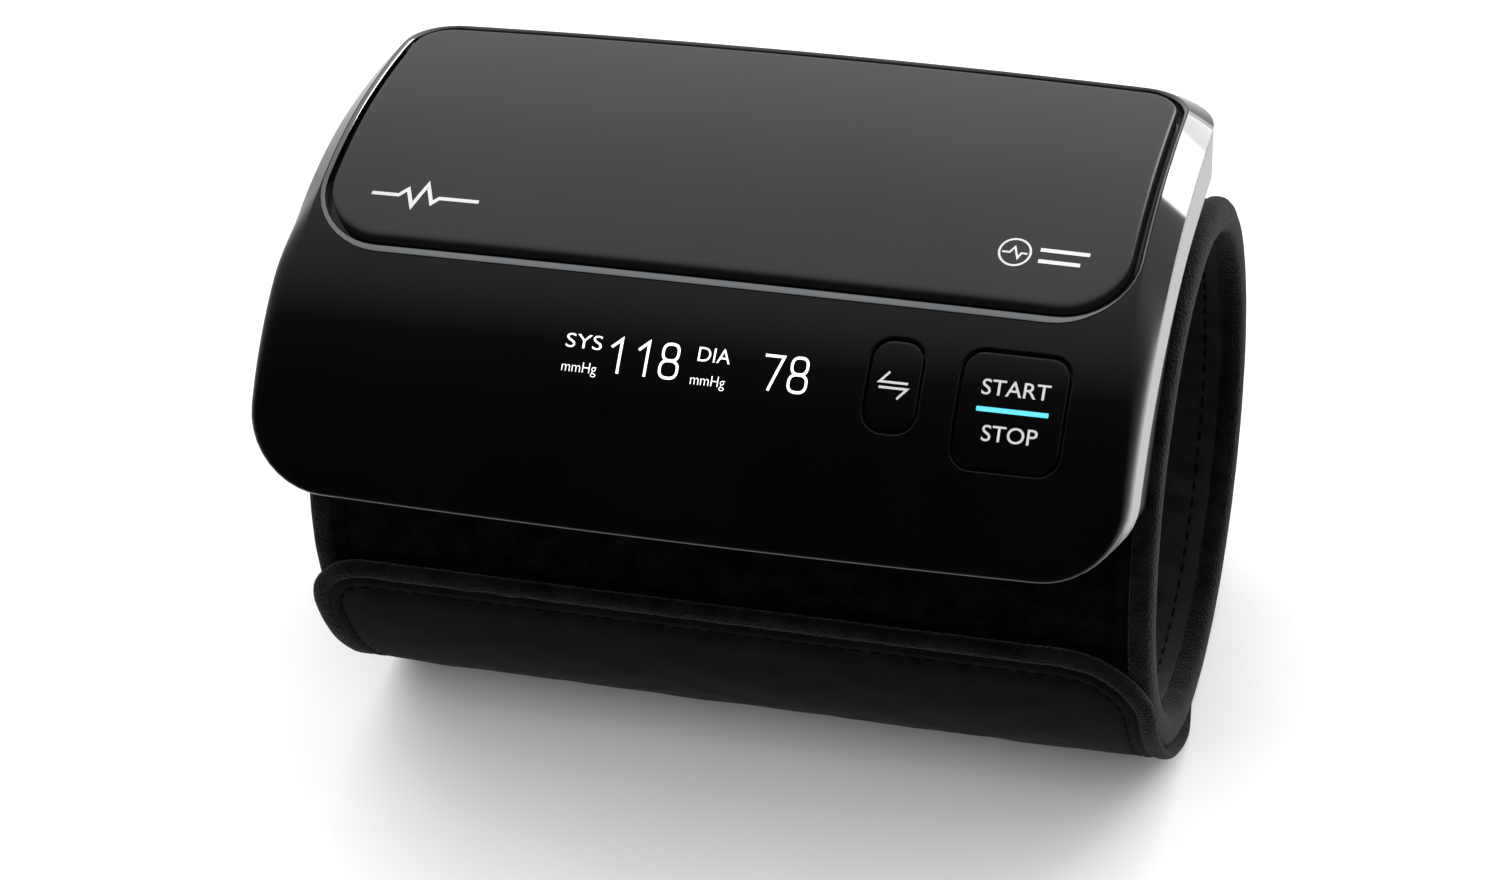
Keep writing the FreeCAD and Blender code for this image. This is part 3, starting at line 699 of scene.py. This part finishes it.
def binding(name, side, node):
    section = [(57.6, 34.6), (58.8, 34.45), (59.9, 34.5), (60.6, 34.95), (60.95, 35.7), (61.1, 36.6),
               (61.1, 37.6), (60.95, 38.5), (60.6, 39.3), (59.9, 39.8), (58.8, 39.9), (57.6, 39.65),
               (57.4, 38.0), (57.4, 36.0)]
    angles = np.linspace(0, 360, 301)
    x = np.array([p[0] for p in section])[None, :] * side
    radius = np.array([p[1] for p in section])[None, :]
    turn = angles[:, None]
    arc = np.radians(turn) * LAYER_R
    soft = 0.10 * ripple(arc * 1.0, radius * 0 + x, 11) * np.sign(radius - 37)
    points = ring_place(x + 0 * turn, turn + 0 * x, radius + soft)
    uvs = np.stack(np.broadcast_arrays(arc / 10, np.arange(len(section))[None, :] * 0.1), -1)
    shape = Shape().grid(points, uvs, close_columns=True)
    piece = make(name, shape, TAPE, "monitor", [node])
    smooth = piece.modifiers.new("round", "SUBSURF")
    smooth.levels = smooth.render_levels = 1
    return piece


binding("bound_edge_right", 1, "binding_right")
binding("bound_edge_left", -1, "binding_left")

BAND = (-61.7, 61.7, 0.0, math.radians(WRAP_END - FREE_EDGE) * WRAP_R)
BAND_RADII = (9.0, 13.0, 1.0, 1.0)


def band_place(x, u, radius):
    """On the wrap: x across, u down from the flap's free edge; it is pressed flat where it stands."""
    turn = FREE_EDGE + np.degrees(np.asarray(u) / WRAP_R)
    taper = smoothstep(262, 284, turn)
    radius = radius - 0.9 * smoothstep(204, 244, turn) * (radius - 40) / 2
    radius = radius + taper * (39.6 + 0.17 * (radius - 40) - radius)
    radius = radius - 1.0 * smoothstep(WRAP_END - 16, WRAP_END, turn)
    places = ring_place(x * (1 - 0.025 * taper), turn, radius)
    places[..., 2] = np.maximum(places[..., 2], 0.0002)
    return places


def band_loop(inset):
    return grown(BAND, BAND_RADII, -inset)


def band_waves(points):
    across, along = points.T
    return 0.16 * ripple(across * 0.5, along * 0.9, 21) + 0.05 * ripple(across * 1.6, along * 1.8, 22)


def flap_band():
    shape = Shape()
    steps = [(1.2, 40.1), (1.2, 41.6), (2.6, 41.9), (3.1, 42.25), (3.6, 42.3), (4.1, 41.95), (4.7, 41.95),
             (5.3, 42.2), (7.0, 42.3)]
    rings = [(band_loop(inset), radius) for inset, radius in steps]
    loft(shape, rings, band_place)
    for loop, base, spacing in ((band_loop(7.0), 42.3, 1.5), (band_loop(1.2), 40.1, 2.5)):
        points, faces = fill(loop, (), spacing)
        nearest = np.array([np.sqrt(np.min(np.sum((loop - p) ** 2, axis=1))) for p in points])
        swell = smoothstep(0, 8, nearest) if base > 41 else 0 * nearest
        radius = base + swell * (0.25 + band_waves(points))
        shape.add(band_place(points[:, 0], points[:, 1], radius), faces, points / 10)
    return make("flap_band", shape, FLAP, stands_for=["outer_wrap", "flap"])


def flap_edge():
    steps = [(2.7, 41.7), (2.4, 42.05), (1.7, 42.3), (0.9, 42.25), (0.25, 41.85), (0.0, 41.2), (0.25, 40.5),
             (0.9, 40.05), (1.9, 39.95), (2.6, 40.2)]
    loops = [band_loop(inset) for inset, _ in steps]
    rows, uvs = [], []
    for index, (loop, (_, radius)) in enumerate(zip(loops, steps)):
        soft = 0.08 * ripple(loop[:, 0] * 1.1, loop[:, 1] * 1.1, 31)
        rows.append(band_place(loop[:, 0], loop[:, 1], radius + soft))
        run = np.cumsum(np.linalg.norm(np.diff(loop, axis=0, prepend=loop[:1]), axis=1))
        uvs.append(np.stack([run / 10, np.full(len(loop), index * 0.1)], axis=1))
    shape = Shape().grid(np.array(rows), np.array(uvs), close_rows=True, close_columns=True)
    return make("flap_edge", shape, TAPE, stands_for=["flap_binding"])


def hook_pad():
    shape = Shape()
    box = (-52.0, 52.0, 6 * math.pi / 180 * WRAP_R, 42 * math.pi / 180 * WRAP_R)
    steps = [(0.0, 40.05), (0.0, 39.75), (0.3, 39.65)]
    rings = [(grown(box, (4,) * 4, -inset), radius) for inset, radius in steps]
    loft(shape, rings, band_place)
    cap(shape, rings[-1][0], 39.65, band_place, spacing=2.0)
    return make("hook_pad", shape, HOOK, "cuff_flap", ["hook_patch"])


def stitches(shape, points, normals, length=1.7, pitch=2.6, wide=0.36, high=0.22):
    """Thread runs laid along a line of places (metres), each a small rounded bar."""
    points, normals = np.asarray(points), np.asarray(normals)
    run = np.concatenate([[0], np.cumsum(np.linalg.norm(np.diff(points, axis=0), axis=1))])
    for start in np.arange(0.0005, run[-1] - length * MM, pitch * MM):
        ends = []
        for at in (start, start + length * MM):
            ends.append([np.interp(at, run, points[:, i]) for i in range(3)])
        up = np.array([np.interp(start, run, normals[:, i]) for i in range(3)])
        a, b = np.array(ends[0]), np.array(ends[1])
        forward = (b - a) / np.linalg.norm(b - a)
        side = np.cross(forward, up)
        side /= np.linalg.norm(side)
        rows = []
        for share, size in ((0.0, 0.25), (0.12, 0.8), (0.3, 1.0), (0.7, 1.0), (0.88, 0.8), (1.0, 0.25)):
            centre = a + (b - a) * share + up * (0.10 * MM * (size - 0.6))
            half_wide, half_high = wide / 2 * MM * size, high / 2 * MM * size
            turns = np.arange(6) * math.pi / 3
            rows.append([centre + side * math.cos(t) * half_wide + up * math.sin(t) * half_high
                         for t in turns])
        shape.grid(np.array(rows), close_columns=True)
    return shape


def ring_seam(shape, x, radius, a1, a2, sign=1):
    angles = np.linspace(a1, a2, 240)
    places = ring_place(x, angles, radius)
    outward = ring_place(x, angles, radius + sign) - places
    return stitches(shape, places, outward / np.linalg.norm(outward, axis=1)[:, None])


def band_seam(inset, radius):
    loop = band_loop(inset)
    loop = np.roll(loop, -int(np.argmax(loop[:, 1] * 2 - loop[:, 0])), axis=0)
    places = band_place(loop[:, 0], loop[:, 1], radius)
    angles = FREE_EDGE + np.degrees(loop[:, 1] / WRAP_R)
    outward = ring_place(loop[:, 0], angles, radius + 1) - ring_place(loop[:, 0], angles, radius)
    return stitches(Shape(), places, outward / np.linalg.norm(outward, axis=1)[:, None])


band = flap_band()
edge_tape = flap_edge()
band_thread = make("flap_thread", band_seam(4.4, 42.02), THREAD)
ring_thread = Shape()
for side in (-1, 1):
    ring_seam(ring_thread, side * (EDGE - 2.5), 39.42, 0, 360)
    ring_seam(ring_thread, side * (EDGE - 2.6), 34.82, 0, 360, -1)
make("edge_thread", ring_thread, THREAD, "monitor")
start, end = ring_place(0.0, PEEL_LINE + 7, WRAP_R), ring_place(0.0, PEEL_LINE - 7, WRAP_R)
for piece in (band, edge_tape, band_thread):
    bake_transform(piece)
hook_pad()


# ---------------------------------------------------------------- stage, light and camera
def area_light(name, direction, distance, size, power, glossy=True, target=(0, 0, 0.045)):
    data = bpy.data.lights.new(name, "AREA")
    data.shape = "RECTANGLE"
    data.size, data.size_y = size
    data.energy = power
    lamp = bpy.data.objects.new(name, data)
    bpy.context.scene.collection.objects.link(lamp)
    direction = Vector(direction).normalized()
    lamp.location = Vector(target) + direction * distance
    lamp.rotation_mode = "QUATERNION"
    lamp.rotation_quaternion = direction.to_track_quat("Z", "Y")
    lamp.visible_glossy = glossy
    lamp.visible_camera = False
    return lamp


def studio_world():
    world = bpy.data.worlds.new("studio")
    world.use_nodes = True
    bpy.context.scene.world = world
    tree = world.node_tree
    places = tree.nodes.new("ShaderNodeTexCoord")
    split = tree.nodes.new("ShaderNodeSeparateXYZ")
    tree.links.new(places.outputs["Generated"], split.inputs["Vector"])
    ramp = tree.nodes.new("ShaderNodeValToRGB")
    shift = add_node(tree, "ShaderNodeMapRange")
    shift.inputs["From Min"].default_value = -1.0
    tree.links.new(split.outputs["Y"], shift.inputs["Value"])
    tree.links.new(shift.outputs["Result"], ramp.inputs["Fac"])
    levels = ((0.0, 0.004), (0.2, 0.008), (0.36, 0.05), (0.5, 0.34), (0.75, 0.74), (1.0, 0.9))
    elements = ramp.color_ramp.elements
    for index, (position, level) in enumerate(levels):
        element = elements[index] if index < 2 else elements.new(position)
        element.position = position
        element.color = (level, level, level, 1)
    background = tree.nodes["Background"]
    tree.links.new(ramp.outputs["Color"], background.inputs["Color"])
    background.inputs["Strength"].default_value = 1.0


studio_world()
area_light("ceiling", (0.0, -0.15, 1.0), 1.6, (4.4, 4.4), 112.0, glossy=False)
SIDE_BOXES = ((21.0, 2.0), (27.0, 5.0), (33.0, 9.0), (38.6, 14.0))     # degrees round from +Y, radiance
BOX_RISE, BOX_DISTANCE, BOX_WIDTH, BOX_HEIGHT = math.radians(7.0), 1.2, 0.126, 0.6
for number, (azimuth, radiance) in enumerate(SIDE_BOXES):
    turn = math.radians(azimuth)
    way = (math.sin(turn) * math.cos(BOX_RISE), math.cos(turn) * math.cos(BOX_RISE), math.sin(BOX_RISE))
    area_light("side_box_%d" % number, way, BOX_DISTANCE, (BOX_WIDTH, BOX_HEIGHT),
               radiance * math.pi * BOX_WIDTH * BOX_HEIGHT)

floor_mesh = bpy.data.meshes.new("floor")
floor_mesh.from_pydata([(-4, -4, 0), (4, -4, 0), (4, 4, 0), (-4, 4, 0)], [], [(0, 1, 2, 3)])
floor = bpy.data.objects.new("floor", floor_mesh)
bpy.context.scene.collection.objects.link(floor)
floor_mesh.materials.append(moulded("floor_pale", (0.86,) * 3, (0.88,) * 3, (0.8, 0.9), 60.0))
floor.visible_glossy = False

camera_data = bpy.data.cameras.new("camera")
camera_data.lens = 94.52
camera_data.sensor_width = 36.0
camera_data.clip_start = 0.01
camera = bpy.data.objects.new("camera", camera_data)
bpy.context.scene.collection.objects.link(camera)
bpy.context.scene.camera = camera
VIEW_AZIMUTH, VIEW_ELEVATION, VIEW_DISTANCE = math.radians(15.6), math.radians(24.59), 557.1
VIEW_TARGET = np.array((0.0, -23.0, 8.0))
backward = np.array((math.sin(VIEW_AZIMUTH) * math.cos(VIEW_ELEVATION),
                     -math.cos(VIEW_AZIMUTH) * math.cos(VIEW_ELEVATION), math.sin(VIEW_ELEVATION)))
rightward = np.array((math.cos(VIEW_AZIMUTH), math.sin(VIEW_AZIMUTH), 0.0))
upward = np.cross(backward, rightward)
lean = Matrix.Rotation(-REST_TILT, 3, "X")
axes = Matrix([lean @ Vector(v) for v in (rightward, upward, backward)]).transposed().to_4x4()
eye = VIEW_TARGET + backward * VIEW_DISTANCE
axes.translation = Vector(to_row(*eye))
camera.matrix_world = axes
bpy.context.scene.view_settings.view_transform = "Standard"

bpy.context.view_layer.update()
